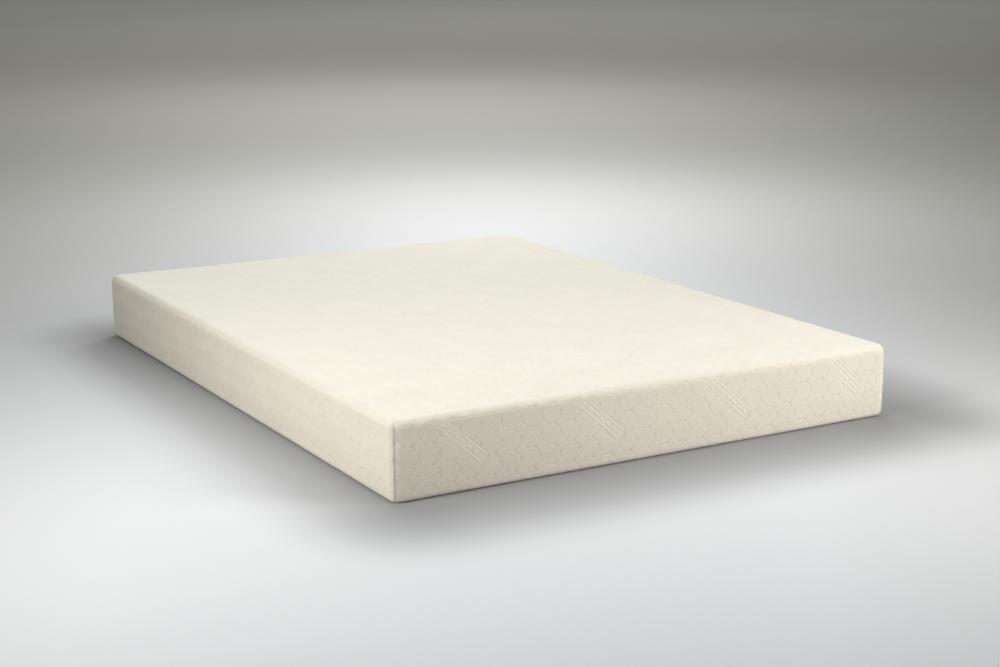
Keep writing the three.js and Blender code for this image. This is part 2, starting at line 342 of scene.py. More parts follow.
def seam_dip(u, v):
    """How far the cloth dips and puckers where two skirts are sewn together up a corner."""
    past_u, past_v = np.abs(u) - half_width, np.abs(v) - half_length
    down = np.maximum(past_u, past_v)
    under = np.maximum(0, down - height)
    room = np.where(past_u > 0, -past_v - under, np.where(past_v > 0, -past_u - under, 9.0))
    start = np.clip(down / 0.02, 0, 1)
    groove = groove_depth * np.exp(-(room / groove_half) ** 2)
    pucker = np.sin(2 * math.pi * down / pucker_pitch + 3 * np.sin(31 * down) + 2 * np.sign(past_u))
    pucker = (0.6 * pucker - 0.4) * pucker_depth * np.exp(-room / pucker_reach)
    return start * (groove + pucker * np.clip(room / 0.003, 0, 1))


def slow_waves(u, v):
    """The cloth's gentle unevenness over the foam."""
    return wave_height * (np.sin(8.1 * u + 1) * np.cos(5.3 * v + 0.4) + 0.6 * np.sin(13 * u - 9 * v))


def mesh_piece(name, co, faces):
    """A smooth-shaded piece made of the triangles given."""
    mesh = bpy.data.meshes.new(name)
    mesh.vertices.add(len(co))
    mesh.vertices.foreach_set("co", np.asarray(co, np.float32).ravel())
    mesh.loops.add(3 * len(faces))
    mesh.loops.foreach_set("vertex_index", np.asarray(faces, np.int32).ravel())
    mesh.polygons.add(len(faces))
    mesh.polygons.foreach_set("loop_start", np.arange(0, 3 * len(faces), 3, dtype=np.int32))
    mesh.update(calc_edges=True)
    mesh.polygons.foreach_set("use_smooth", np.ones(len(faces), bool))
    piece = bpy.data.objects.new(name, mesh)
    bpy.context.collection.objects.link(piece)
    return piece


def with_cut_edges(points, edges):
    """Adds the cloth's cut edges to groups of points and edges, and joins the groups."""
    count = sum(len(group) for group in points)
    for outline in (cross_outline(), slot_outline()):
        edges.append(closed_edges(len(outline)) + count)
        points.append(outline)
        count += len(outline)
    return np.concatenate(points), np.concatenate(edges)


def knit_lines():
    """All the lines the knit's surface bends along: rings, slanted bands and cut edges."""
    half = np.array([cell_u, cell_v]) / 2
    groups = [
        repeated(one_motif(rings(9)), lattice(0, 0)),
        repeated(one_motif(rings(10), clear_of_discs), lattice(*half)),
        repeated(one_motif([point[None] for point in band_ground()]), band_starts(), band_slope),
        repeated(one_motif(band_outline()), band_starts(), band_slope),
    ]
    points, edges, count = [], [], 0
    for number, (group_points, group_edges) in enumerate(groups):
        keep = cloth_room(group_points[:, 0], group_points[:, 1]) > 0.0015
        if number < 2:
            keep &= band_place(group_points[:, 0], group_points[:, 1])[2] > 0.0012
        index = np.where(keep, count + np.cumsum(keep) - 1, -1)
        pair = index[group_edges]
        edges.append(pair[(pair >= 0).all(1)])
        points.append(group_points[keep])
        count += keep.sum()
    return with_cut_edges(points, edges)


def lining_lines():
    """A plain grid inside the same cut edges, for the inner face of the cloth."""
    us = np.arange(-half_width - skirt, half_width + skirt, lining_step)
    vs = np.arange(-half_length - skirt, half_length + skirt, lining_step)
    grid = np.stack(np.meshgrid(us, vs), -1).reshape(-1, 2)
    return with_cut_edges([grid[cloth_room(grid[:, 0], grid[:, 1]) > 0.3 * lining_step]], [])


def skin(lines, depth):
    """One folded face of the cloth, depth under the crests, and how pale it is painted there.

    The grooves get painted shade, weaker on the top than on the sides, as light gets into them there.
    Round the slot the cloth is pressed flat by the seams that hold the zip's tapes behind it,
    and underneath by the weight that rests on it.
    """
    place, faces = triangulate(*lines)
    u, v = place.T
    co, out = fold(place)
    down = np.maximum(np.abs(u) - half_width, np.abs(v) - half_length)
    sink = np.full(len(u), depth)
    lift = np.zeros(len(u))
    if not depth:
        along, across, outside = band_place(u, v)
        lift = np.where(outside > 0, ring_height(u, v), band_height(along, across, outside))
        room = cloth_room(u, v)
        lift *= np.clip(room / 0.006, 0, 1)
        sink = relief * (1 - lift) + seam_dip(u, v) - slow_waves(u, v) * np.clip(room / 0.03, 0, 1)
        resting = np.clip((down - height) / resting_ease + 1.4, 0, 1)
        sink += (resting_depth - sink) * resting
    to_slot = np.abs(outside_slot(u, v))
    held = np.clip((held_width - to_slot) / held_ease, 0, 1)
    pressed = np.minimum(sink, held_lining_depth if depth else held_depth)
    sink += (pressed - sink) * held
    sink[np.abs(skirt - down) < 1e-6] = hem_depth
    sink[to_slot < 1e-6] = slot_hem_depth
    # Painted shade: the grooves' painted darkening is weakened on the top, where light reaches into
    # them.
    lift = 1 - (1 - lift) * (1 - 0.65 * np.abs(out[:, 2]))
    return place, co - out * sink[:, None], faces, lift


def sewn(co, faces, at_edge):
    """Joins the points of the cut edges that meet, so the corner seams and hems are closed.

    Points that fall in one small cell of space meet; the shift keeps round figures inside a cell.
    """
    number = np.arange(len(co))
    edge = np.flatnonzero(at_edge)
    key = np.floor(co[edge] / weld_cell + 0.37).astype(int)
    _, first, group = np.unique(key, axis=0, return_index=True, return_inverse=True)
    number[edge] = edge[first][group.ravel()]
    used, renumbered = np.unique(number, return_inverse=True)
    faces = renumbered[faces]
    whole = (faces != np.roll(faces, 1, axis=1)).all(1)
    return used, faces[whole]


outer_place, outer_co, outer_faces, lift = skin(knit_lines(), 0)
inner_place, inner_co, inner_faces, no_lift = skin(lining_lines(), cloth_thickness)
place = np.concatenate([outer_place, inner_place])
co = np.concatenate([outer_co, inner_co])
faces = np.concatenate([outer_faces, inner_faces[:, ::-1] + len(outer_place)])
lift = np.concatenate([lift, no_lift])
at_edge = cloth_room(place[:, 0], place[:, 1]) < 1e-6
used, faces = sewn(co, faces, at_edge)
cover = mesh_piece("cover", co[used], faces)
# The lift attribute is the relief height used as painted shade: grooves painted darker, crests paler.
cover.data.attributes.new("lift", "FLOAT", "POINT").data.foreach_set("value", lift[used])
flat = np.concatenate([place[used], np.zeros((len(used), 1))], 1)
cover.data.attributes.new("flat", "FLOAT_VECTOR", "POINT").data.foreach_set("vector", flat.ravel())


def new_material(name, roughness):
    """A material with its node tree, its Principled node, and a way to add and link nodes."""
    mat = bpy.data.materials.new(name)
    mat.use_nodes = True
    tree = mat.node_tree
    shader = tree.nodes["Principled BSDF"]
    shader.inputs["Roughness"].default_value = roughness

    def add(kind, inputs=(), **settings):
        node = tree.nodes.new("ShaderNode" + kind)
        for key, value in settings.items():
            setattr(node, key, value)
        for key, value in dict(inputs).items():
            if isinstance(value, bpy.types.NodeSocket):
                tree.links.new(value, node.inputs[key])
            else:
                node.inputs[key].default_value = value
        return node

    return mat, shader, add, tree.links.new


def tint(shader, add, link, share, dark, pale):
    """Colours a finish between dark and pale by share, a socket from 0 to 1."""
    colour = add("Mix", {0: share, 6: (*dark, 1), 7: (*pale, 1)}, data_type="RGBA").outputs[2]
    link(colour, shader.inputs["Base Color"])


def bump_into(shader, add, link, heights):
    """Chains bumps, each a height socket, a strength and a depth in metres."""
    normal = None
    for height_socket, strength, depth in heights:
        node = add("Bump", {"Height": height_socket, "Strength": strength, "Distance": depth})
        if normal:
            link(normal, node.inputs["Normal"])
        normal = node.outputs["Normal"]
    link(normal, shader.inputs["Normal"])


# A wave texture of scale 1 repeats every 0.314 m.
wave_repeat = 0.314


def cover_finish():
    """Cream filled knit with painted shade in the grooves of the rings, paler crests, and a fine stitch
    all over.
    """
    mat, shader, add, link = new_material("cream_ring_knit", 0.92)
    shader.inputs["Sheen Weight"].default_value = 0.15
    shader.inputs["Sheen Roughness"].default_value = 0.6
    lift = add("Attribute", attribute_name="lift").outputs["Fac"]
    flat = add("Attribute", attribute_name="flat").outputs["Vector"]
    # Painted shade: the groove colour is darker than the crest colour, and the lift attribute mixes
    # them.
    groove, crest = (0.785, 0.722, 0.575, 1), (0.895, 0.853, 0.75, 1)
    yarn_with_painted_groove_shade = add("Mix", {0: lift, 6: groove, 7: crest}, data_type="RGBA").outputs[2]
    cloud = add("TexNoise", {"Vector": flat, "Scale": 9.0, "Detail": 4.0}).outputs["Fac"]
    fleck = add("TexNoise", {"Vector": flat, "Scale": 420.0, "Detail": 2.0}).outputs["Fac"]
    both = add("Math", {0: cloud, 1: fleck}, operation="ADD").outputs[0]
    uneven = {"Value": both, "From Min": 0.6, "From Max": 1.4, "To Min": 0.965, "To Max": 1.035}
    shade = add("MapRange", uneven).outputs[0]
    tone = add("Mix", {0: 1.0, 6: yarn_with_painted_groove_shade, 7: shade}, data_type="RGBA", blend_type="MULTIPLY")
    link(tone.outputs[2], shader.inputs["Base Color"])
    waves = []
    for direction, pitch, wander in (("X", 0.0011, 1.5), ("Y", 0.0009, 1.0)):
        inputs = {"Vector": flat, "Scale": wave_repeat / pitch, "Distortion": wander}
        waves.append(add("TexWave", inputs, bands_direction=direction).outputs["Fac"])
    stitch = add("Math", {0: waves[0], 1: waves[1]}, operation="MULTIPLY").outputs[0]
    bump_into(shader, add, link, [(stitch, 0.5, 0.0003), (fleck, 0.35, 0.0005)])
    return mat


cover.data.materials.append(cover_finish())
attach(cover, "mattress")
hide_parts("cover_shell")


# ---------------------------------------------------------------- corner seams
# The four corner seams are overlocked from the inside: a narrow, slightly puckered ridge with a
# thread lump every 3 mm runs from the top edge down to the turn-in at each corner.
seam_half_width = 0.0027
seam_rise = 0.0032
seam_lump = 0.0031
seam_step = 0.00125
seam_tail = 0.006
seam_sunk = 0.0010


def loft(hoops):
    """Points and triangles of a closed skin through equal hoops of points, shut at both ends."""
    count, around = hoops.shape[:2]
    i = np.arange(count - 1)[:, None] * around
    j = np.arange(around)[None]
    k = (j + 1) % around
    a, b, c, d = i + j, i + k, i + around + k, i + around + j
    sides = [np.stack([a, b, c], -1).reshape(-1, 3), np.stack([a, c, d], -1).reshape(-1, 3)]
    fan = np.stack([np.zeros(around - 2, int), np.arange(2, around), np.arange(1, around - 1)], 1)
    return hoops.reshape(-1, 3), np.concatenate(sides + [fan, fan[:, ::-1] + (count - 1) * around])


def face_outwards(piece):
    """Turns every face of a closed piece outwards."""
    mesh = bmesh.new()
    mesh.from_mesh(piece.data)
    bmesh.ops.recalc_face_normals(mesh, faces=mesh.faces)
    mesh.to_mesh(piece.data)
    mesh.free()
    return piece


def corner_seam(name, side, end, phase):
    """The ridge up one corner, wandering a little; phase makes each corner its own."""
    down = np.arange(seam_tail, height - seam_tail, seam_step)
    flat = np.stack([np.full(len(down), side * half_width), end * (half_length + down)], 1)
    path, out = fold(flat)
    along = np.gradient(path, axis=0)
    along /= np.linalg.norm(along, axis=1)[:, None]
    across = np.cross(out, along)
    ends = np.clip(np.minimum(down - down[0], down[-1] - down) / seam_tail, 0.25, 1)
    lump = 0.80 + 0.20 * np.cos(2 * math.pi * down / seam_lump)
    wander = 0.0006 * np.sin(2 * math.pi * down / 0.043 + phase) - 0.0005 * np.sin(down * 390 + phase)
    turn = np.arange(10) * 2 * math.pi / 10
    rise = np.sin(turn)[None] * (seam_rise * lump * ends)[:, None] - seam_sunk
    reach = np.cos(turn)[None] * (seam_half_width * ends)[:, None] + wander[:, None]
    hoops = path[:, None] + out[:, None] * rise[..., None] + across[:, None] * reach[..., None]
    return face_outwards(mesh_piece(name, *loft(hoops)))


def cloth_finish(name, pale, dark, pitch, rough=0.9, weave=0.5, twill=0.0, depth=0.0002):
    """A plain or twill weave on object coordinates, with its own colour change and fine bump."""
    mat, shader, add, link = new_material(name, rough)
    shader.inputs["Sheen Weight"].default_value = 0.1
    place = add("TexCoord").outputs["Object"]
    turned = add("Mapping", {"Vector": place, "Rotation": (0.0, twill, twill)}).outputs[0]
    heights = []
    for direction in ("X", "Y", "Z"):
        inputs = {"Vector": turned, "Scale": wave_repeat / pitch, "Distortion": 0.6}
        heights.append(add("TexWave", inputs, bands_direction=direction).outputs["Fac"])
    cross = add("Math", {0: heights[0], 1: heights[1]}, operation="ADD").outputs[0]
    cross = add("Math", {0: cross, 1: heights[2]}, operation="ADD").outputs[0]
    cloud = add("TexNoise", {"Vector": place, "Scale": 30.0, "Detail": 5.0}).outputs["Fac"]
    mixed = add("Math", {0: cross, 1: cloud}, operation="ADD").outputs[0]
    shade = add("MapRange", {"Value": mixed, "From Min": 0.8, "From Max": 2.8}).outputs[0]
    tint(shader, add, link, shade, dark, pale)
    bump_into(shader, add, link, [(cross, weave, depth), (cloud, 0.15, 0.0006)])
    return mat


seam_finish = cloth_finish("seam_thread", (0.80, 0.75, 0.64), (0.66, 0.60, 0.48), 0.0008)
for end_name, end in (("foot", -1), ("head", 1)):
    for side_name, side in (("left", -1), ("right", 1)):
        seam = corner_seam(f"{end_name}_{side_name}_seam", side, end, 2.1 * side + end)
        seam.data.materials.append(seam_finish)
        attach(seam, "mattress")
        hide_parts(f"corner_seam_{end_name}_{side_name}")


# ---------------------------------------------------------------- cover base
# The underside panel is a plain brushed knit, lockstitched to the turned-in skirts. Small rubber
# dots are printed on it in a staggered grid so that the mattress doesn't creep on its bed base.
base_low, base_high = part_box("cover_base")
dot_rise, dot_sunk = 0.0008, 0.0003
dot_radius = 0.0026
dot_pitch = 0.036
dot_margin = 0.03


def deselect():
    bpy.ops.object.select_all(action="DESELECT")


def apply_all(piece):
    """Applies the piece's place, turn, size and modifiers, so that all of it is in the mesh."""
    deselect()
    piece.select_set(True)
    bpy.context.view_layer.objects.active = piece
    bpy.ops.object.transform_apply(location=True, rotation=True, scale=True)
    for modifier in list(piece.modifiers):
        bpy.ops.object.modifier_apply(modifier=modifier.name)
    return piece


def thicken(piece, thickness, offset):
    """Gives a sheet its thickness, inwards for an offset of -1 and outwards for 1."""
    wall = piece.modifiers.new("thickness", "SOLIDIFY")
    wall.thickness = thickness
    wall.offset = offset


def cloth_grid(name, middle, width, length, cell, tilt=0.0):
    """A flat grid of cells round its middle, level or tilted up about the X axis."""
    deselect()
    bpy.ops.mesh.primitive_grid_add(
        x_subdivisions=max(4, round(width / cell)), y_subdivisions=max(4, round(length / cell)),
        size=1, location=middle, rotation=(tilt, 0, 0),
    )
    cloth = bpy.context.object
    cloth.name = name
    cloth.scale = (width, length, 1)
    bpy.ops.object.transform_apply(location=True, rotation=True, scale=True)
    return cloth


def base_panel(low, high):
    """The level panel of cloth, with its upper face against the foam."""
    size = high - low
    middle = ((low.x + high.x) / 2, (low.y + high.y) / 2, high.z)
    panel = cloth_grid("cover_base_knit", middle, size.x, size.y, 0.012)
    thicken(panel, 0.0021, -1)
    apply_all(panel)
    bpy.ops.object.shade_smooth_by_angle(angle=math.radians(40))
    return panel


def grip_dots():
    """Low six-sided domes under the base, pressed a little into the knit."""
    xs = np.arange(base_low.x + dot_margin, base_high.x - dot_margin, dot_pitch)
    ys = np.arange(base_low.y + dot_margin, base_high.y - dot_margin, dot_pitch)
    first = np.stack(np.meshgrid(xs, ys), -1).reshape(-1, 2)
    second = np.stack(np.meshgrid(xs + dot_pitch / 2, ys + dot_pitch / 2), -1).reshape(-1, 2)
    centres = np.concatenate([first, second])
    turn = np.arange(6) * math.pi / 3
    rim = dot_radius * np.stack([np.cos(turn), np.sin(turn)], 1)
    steps = [(1.0, dot_rise + dot_sunk), (0.85, dot_sunk), (0.45, 0.0)]
    dome = [np.concatenate([rim * share, np.full((6, 1), z)], 1) for share, z in steps]
    centres = np.concatenate([centres, np.zeros((len(centres), 1))], 1)
    return at_places(*loft(np.stack(dome)), centres)


base = base_panel(base_low + Vector((0, 0, dot_rise)), base_high)
base_finish = cloth_finish("brushed_base_knit", (0.62, 0.59, 0.52), (0.46, 0.43, 0.37), 0.0014)
base.data.materials.append(base_finish)
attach(base, "mattress")
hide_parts("cover_base")

dots = face_outwards(mesh_piece("grip_dots", *grip_dots()))
rubber, shader, add, link = new_material("grip_rubber", 0.55)
grain = add("TexNoise", {"Vector": add("TexCoord").outputs["Object"], "Scale": 900.0}).outputs["Fac"]
tint(shader, add, link, grain, (0.30, 0.29, 0.26), (0.40, 0.385, 0.35))
bump_into(shader, add, link, [(grain, 0.3, 0.0002)])
dots.data.materials.append(rubber)
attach(dots, "mattress")


# ---------------------------------------------------------------- base seam binding
# A strip of twill tape is caught in the seam between the skirts and the base, inside the cover.
# It lies flat and can't be seen, so its plain shape stays and it only gets its weave.
twill_pale, twill_dark = (0.78, 0.74, 0.64), (0.62, 0.57, 0.47)
binding_finish = cloth_finish("binding_twill", twill_pale, twill_dark, 0.0012, twill=0.8)
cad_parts["base_seam_binding"].material_slots[0].material = binding_finish


# ---------------------------------------------------------------- foam core
# Two blocks of polyurethane foam, sawn from larger blocks and glued together: a firm support
# layer below and a soft, slow viscoelastic comfort layer on top. Their faces show the open cells.
foam_corner = 0.022
core_ease = 0.0028
glue_gap = 0.0004


def subdivide(cuts):
    """Cuts every edge of the active piece into equal parts."""
    bpy.ops.object.mode_set(mode="EDIT")
    bpy.ops.mesh.select_all(action="SELECT")
    bpy.ops.mesh.subdivide(number_cuts=cuts)
    bpy.ops.object.mode_set(mode="OBJECT")


def rounded_block(name, low, high, cuts, low_edge, high_edge):
    """A block with its cells crowded to its edges, its upright edges round and the rest eased."""
    deselect()
    bpy.ops.mesh.primitive_cube_add(size=2, location=(0, 0, 0))
    block = bpy.context.object
    block.name = name
    subdivide(cuts)
    co = np.empty(len(block.data.vertices) * 3, np.float32)
    block.data.vertices.foreach_get("co", co)
    centre, half = np.array((low + high) / 2), np.array((high - low) / 2)
    half -= (core_ease, core_ease, glue_gap)
    co = np.sin(co.reshape(-1, 3) * math.pi / 2) * half
    z = co[:, 2]
    core = np.clip(co[:, :2], foam_corner - half[:2], half[:2] - foam_corner)
    away = co[:, :2] - core
    inward = foam_corner - np.abs(away).max(1)
    for radius, from_edge, sign in ((high_edge, half[2] - z, 1), (low_edge, half[2] + z, -1)):
        near, a, b = eased(inward, from_edge, radius)
        inward = np.where(near, radius - a, inward)
        z = np.where(near, sign * (half[2] - radius + b), z)
    away *= ((foam_corner - inward) / np.maximum(np.hypot(*away.T), 1e-9))[:, None]
    co = np.concatenate([core + away, z[:, None]], 1)
    saw = np.sin(co[:, 0] * 71 + co[:, 1] * 23) * np.cos(co[:, 2] * 190 + co[:, 1] * 37)
    co = centre + co * (1 - 0.0003 * (1 + saw[:, None]))
    block.data.vertices.foreach_set("co", co.astype(np.float32).ravel())
    block.data.update()
    bpy.ops.object.shade_smooth_by_angle(angle=math.radians(50))
    return block


def foam_finish(name, pale, dark, cell):
    """Open-cell foam: pits of mixed size, with painted shade inside them."""
    mat, shader, add, link = new_material(name, 0.95)
    place = add("TexCoord").outputs["Object"]
    pits = add("TexVoronoi", {"Vector": place, "Scale": 1 / cell, "Randomness": 1.0}).outputs["Distance"]
    coarse = add("TexNoise", {"Vector": place, "Scale": 60.0, "Detail": 6.0}).outputs["Fac"]
    # Painted shade: the middles of the pits are tinted towards the dark colour.
    mixed = add("Math", {0: pits, 1: coarse}, operation="ADD").outputs[0]
    shade = add("MapRange", {"Value": mixed, "From Min": 0.4, "From Max": 1.1}).outputs[0]
    tint(shader, add, link, shade, dark, pale)
    bump_into(shader, add, link, [(pits, 0.6, 0.0008), (coarse, 0.3, 0.002)])
    return mat


foams = [
    ("support_foam_block", "base_foam", "support_foam", (0.012, 0.002), 0.0012),
    ("comfort_foam_layer", "comfort_foam", "comfort_foam", (0.002, 0.018), 0.0007),
]
foam_colours = {
    "support_foam": ((0.62, 0.66, 0.70), (0.42, 0.46, 0.50)),
    "comfort_foam": ((0.82, 0.78, 0.66), (0.68, 0.63, 0.50)),
}
for name, node, slot, edges, cell in foams:
    foam = rounded_block(name, *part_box(node), 40, *edges)
    foam.data.materials.append(foam_finish(name + "_cells", *foam_colours[slot], cell))
    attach(foam, "mattress")
    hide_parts(node)


# ---------------------------------------------------------------- fire sock
# A seamless tube of thin rib knit with a flame-retardant yarn is pulled over the foam like a
# stocking. Its gathered mouth is at the head end, behind the zip.
mouth_half = Vector((0.090, 0, 0.025))
mouth_gathers, gather_depth = 26, 0.0012
sock_thickness = 0.0009


def fire_sock():
    """The tube, rounded like the foam inside it, with its mouth open and gathered."""
    low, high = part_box("fire_sock")
    sock = rounded_block("fire_sock_knit", low, high, 64, 0.013, 0.0185)
    middle = (low + high) / 2
    mesh = bmesh.new()
    mesh.from_mesh(sock.data)
    over = []
    for face in mesh.faces:
        place = face.calc_center_median() - middle
        if face.normal.y > 0.9 and abs(place.x) < mouth_half.x and abs(place.z) < mouth_half.z:
            over.append(face)
    bmesh.ops.delete(mesh, geom=over, context="FACES")
    for vert in mesh.verts:
        away = vert.co - middle
        if vert.co.y > high.y - core_ease - 0.004:
            along, up = away.x / mouth_half.x, away.z / mouth_half.z
            fold_in = 1 + math.cos(mouth_gathers * math.atan2(up, along))
            vert.co.y -= gather_depth * fold_in * math.exp(-max(0, math.hypot(along, up) - 1))
    mesh.to_mesh(sock.data)
    mesh.free()
    thicken(sock, sock_thickness, -1)
    return apply_all(sock)


sock = fire_sock()
sock_finish = cloth_finish("sock_rib", (0.86, 0.85, 0.81), (0.70, 0.69, 0.65), 0.0018, depth=0.0005)
sock.data.materials.append(sock_finish)
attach(sock, "mattress")
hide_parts("fire_sock")


# ---------------------------------------------------------------- zip tapes and guard
# A number 5 coil zip closes the head end. Its two polyester tapes are sewn behind the slot's
# edges, and a wider guard strip lies between them and the foam.
tape_finish = cloth_finish("zip_tape_twill", (0.80, 0.77, 0.69), (0.62, 0.58, 0.50), 0.0007, twill=0.78)
for node in ("zip_tape_upper", "zip_tape_lower", "zip_guard"):
    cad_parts[node].material_slots[0].material = tape_finish


# ---------------------------------------------------------------- zip coils
# Each coil is one nylon monofilament wound into a flattened helix and sewn to its tape. The two
# mesh along the middle, each turn of one between two turns of the other.
coil_pitch = 0.0016
coil_wire = 0.00033
coil_overlap = 0.0011
coil_bunching, coil_end_room = 0.16, 0.002
turn_points = 8


def coil(node, half_turn, side):
    """One flattened helix; half_turn shifts it by half a turn, and side says which way it faces."""
    low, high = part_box(node)
    turns = int((high.x - low.x) / coil_pitch)
    t = np.arange(turns * turn_points + 1) / turn_points
    angle = 2 * math.pi * t
    centre_y, half_y = (low.y + high.y) / 2, (high.y - low.y) / 2 - coil_wire
    inner = (low.z if side > 0 else high.z) - side * coil_overlap
    outer = high.z if side > 0 else low.z
    centre_z, half_z = (inner + outer) / 2, abs(outer - inner) / 2 - coil_wire
    lean = 0.5 * coil_pitch * half_turn
    pitch = (high.x - low.x - coil_end_room) / turns
    x = low.x + lean + coil_wire + (t + coil_bunching * np.sin(angle)) * pitch
    path = np.stack([x, centre_y + half_y * np.cos(angle), centre_z + half_z * np.sin(angle)], 1)
    out = np.stack([0 * t, np.cos(angle), np.sin(angle)], 1)
    along = np.gradient(path, axis=0)
    along /= np.linalg.norm(along, axis=1)[:, None]
    across = np.cross(out, along)
    turn = np.arange(4) * math.pi / 2
    cos, sin = np.cos(turn)[None, :, None], np.sin(turn)[None, :, None]
    wire = path[:, None] + coil_wire * (out[:, None] * cos + across[:, None] * sin)
    return face_outwards(mesh_piece(node.replace("zip_", "") + "_turns", *loft(wire)))


def nylon_finish():
    """Natural nylon, a little milky and shiny."""
    mat, shader, add, link = new_material("coil_nylon", 0.34)
    shader.inputs["Specular IOR Level"].default_value = 0.55
    place = add("TexCoord").outputs["Object"]
    haze = add("TexNoise", {"Vector": place, "Scale": 260.0, "Detail": 3.0}).outputs["Fac"]
    tint(shader, add, link, haze, (0.70, 0.67, 0.58), (0.84, 0.81, 0.73))
    bump_into(shader, add, link, [(haze, 0.2, 0.0001)])
    return mat


nylon = nylon_finish()
for node, half_turn, side in (("zip_coil_upper", 0, 1), ("zip_coil_lower", 1, -1)):
    piece = coil(node, half_turn, side)
    piece.data.materials.append(nylon)
    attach(piece, "mattress")
    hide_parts(node)


# ---------------------------------------------------------------- zip stops and end tabs
# A moulded stop at each end keeps the slider on the coils, and a small folded tab of the same
# tape is sewn over each end of the slot, pressed into the knit so that the pull clears it.
stitch_long = 0.0026
stitch_gap = 0.0010
stitch_radius = 0.00032
stop_waist = 0.82
tab_pressed = Vector((0, 0.0010, 0))


def plain_box(name, middle, size):
    """A box of a size round its middle, to be shaped further."""
    deselect()
    bpy.ops.mesh.primitive_cube_add(size=1, location=middle, scale=size)
    box = bpy.context.object
    box.name = name
    bpy.ops.object.transform_apply(location=True, rotation=True, scale=True)
    return box


def ease_edges(piece, width, segments):
    """Takes the sharpness off a piece's edges."""
    soft = piece.modifiers.new("edges", "BEVEL")
    soft.width, soft.segments, soft.limit_method = width, segments, "ANGLE"


def moulded_stop(name, node):
    """A block with eased edges and a waist across its middle."""
    low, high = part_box(node)
    middle = (low + high) / 2
    stop = plain_box(name, middle, high - low)
    subdivide(2)
    for vert in stop.data.vertices:
        if abs(vert.co.z - middle.z) < 0.3 * (high.z - low.z):
            vert.co.y = middle.y + stop_waist * (vert.co.y - middle.y)
            vert.co.x = middle.x + stop_waist * (vert.co.x - middle.x)
    ease_edges(stop, 0.0003, 2)
    apply_all(stop)
    bpy.ops.object.shade_smooth_by_angle(angle=math.radians(45))
    return stop


def stitch_run(start, end, out):
    """Thread bumps along a straight seam, each a short arch with its ends under the cloth."""
    start, end, out = (np.array(p, float) for p in (start, end, out))
    length = np.linalg.norm(end - start)
    along = (end - start) / length
    across = np.cross(out, along)
    turn = np.arange(5) * 2 * math.pi / 5
    hoop = np.cos(turn)[:, None] * across + np.sin(turn)[:, None] * out
    foot, shoulder, crown = (-0.0004, 0.6), (0.0001, 1.0), (0.0002, 1.0)
    arch = [(0.0, *foot), (0.2, *shoulder), (0.5, *crown), (0.8, *shoulder), (1.0, *foot)]
    hoops = [along * t * stitch_long + out * z + hoop * stitch_radius * r for t, z, r in arch]
    pitch = stitch_long + stitch_gap
    count = int((length + stitch_gap) / pitch)
    return at_places(*loft(np.stack(hoops)), start + along * (np.arange(count)[:, None] * pitch))


def stitching(name, runs):
    """One piece made of several straight seams."""
    points, triangles, count = [], [], 0
    for run in runs:
        co, faces = stitch_run(*run)
        points.append(co)
        triangles.append(faces + count)
        count += len(co)
    return face_outwards(mesh_piece(name, np.concatenate(points), np.concatenate(triangles)))


def seam_round(low, high, inset, y, lean=0.0):
    """Four straight seams just inside the edges of an upright panel on the head end."""
    x0, x1, z0, z1 = low.x + inset, high.x - inset, low.z + inset, high.z - inset
    corners = [(x0, y, z0), (x1, y, z0), (x1, y + lean, z1), (x0, y + lean, z1)]
    return [(a, b, (0, 1, 0)) for a, b in zip(corners, corners[1:] + corners[:1])]


def sewn_patch(name, low, high, cell, lift):
    """An upright patch of cloth on the head end, a little slack between its seams."""
    size = high - low
    middle = ((low.x + high.x) / 2, low.y, (low.z + high.z) / 2)
    patch = cloth_grid(name, middle, size.x, size.z, cell, -math.pi / 2)
    for vert in patch.data.vertices:
        a = (vert.co.x - low.x) / size.x
        b = (vert.co.z - low.z) / size.z
        slack = math.sin(math.pi * a) * math.sin(math.pi * b)
        ripple = 0.3 * math.sin(90 * vert.co.x + 3 * math.sin(55 * vert.co.z))
        vert.co.y += lift * max(0, slack) ** 0.5 * (1 + ripple)
    thicken(patch, size.y, 1)
    ease_edges(patch, size.y * 0.3, 1)
    apply_all(patch)
    bpy.ops.object.shade_smooth_by_angle(angle=math.radians(50))
    return patch


thread_pale, thread_dark = (0.86, 0.83, 0.75), (0.68, 0.64, 0.55)
thread_finish = cloth_finish("sewing_thread", thread_pale, thread_dark, 0.0004, rough=0.6)
for side_name, node in (("left", "zip_top_stop"), ("right", "zip_bottom_stop")):
    stop = moulded_stop(f"{side_name}_stop", node)
    stop.data.materials.append(nylon)
    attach(stop, "mattress")
    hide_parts(node)

    low, high = (corner - tab_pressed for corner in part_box(f"zip_end_tab_{side_name}"))
    tab = sewn_patch(f"{side_name}_end_tab", low, high, 0.002, 0.0003)
    tab.data.materials.append(tape_finish)
    tab_seam = stitching(f"{side_name}_tab_stitches", seam_round(low, high, 0.0022, high.y + 0.0001))
    tab_seam.data.materials.append(thread_finish)
    for piece in (tab, tab_seam):
        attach(piece, "mattress")
    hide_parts(f"zip_end_tab_{side_name}")

slot_z = height - (slot_v - half_length)
row_y = half_length - 0.0017
row_reach = Vector((slot_half_length + 0.004, 0, slot_half_height + 0.005))
slot_middle = Vector((0, 0, slot_z))
zip_rows = seam_round(slot_middle - row_reach, slot_middle + row_reach, 0, row_y, 0.0006)
zip_seam = stitching("zip_stitches", zip_rows)
zip_seam.data.materials.append(thread_finish)
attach(zip_seam, "mattress")


# ---------------------------------------------------------------- zip slider
# Die-cast zinc slider: two wings that hold the coils between them, joined by a post at the nose,
# with flanges along their edges and a bridge on the outer wing that the pull hangs from.
slider_low, slider_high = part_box("zip_slider")
slider_middle = (slider_low + slider_high) / 2
wing_thick = 0.0011
wing_front = slider_low.y + 0.0064
wing_nose = 0.62
flange_start, flange_deep, flange_wide = 0.005, 0.0018, 0.001
post_start, post_end, post_half = 0.0006, 0.0035, 0.001
bridge_inset, bridge_thick, bridge_wide = 0.0012, 0.0008, 0.0022
slider_grain = 0.0002


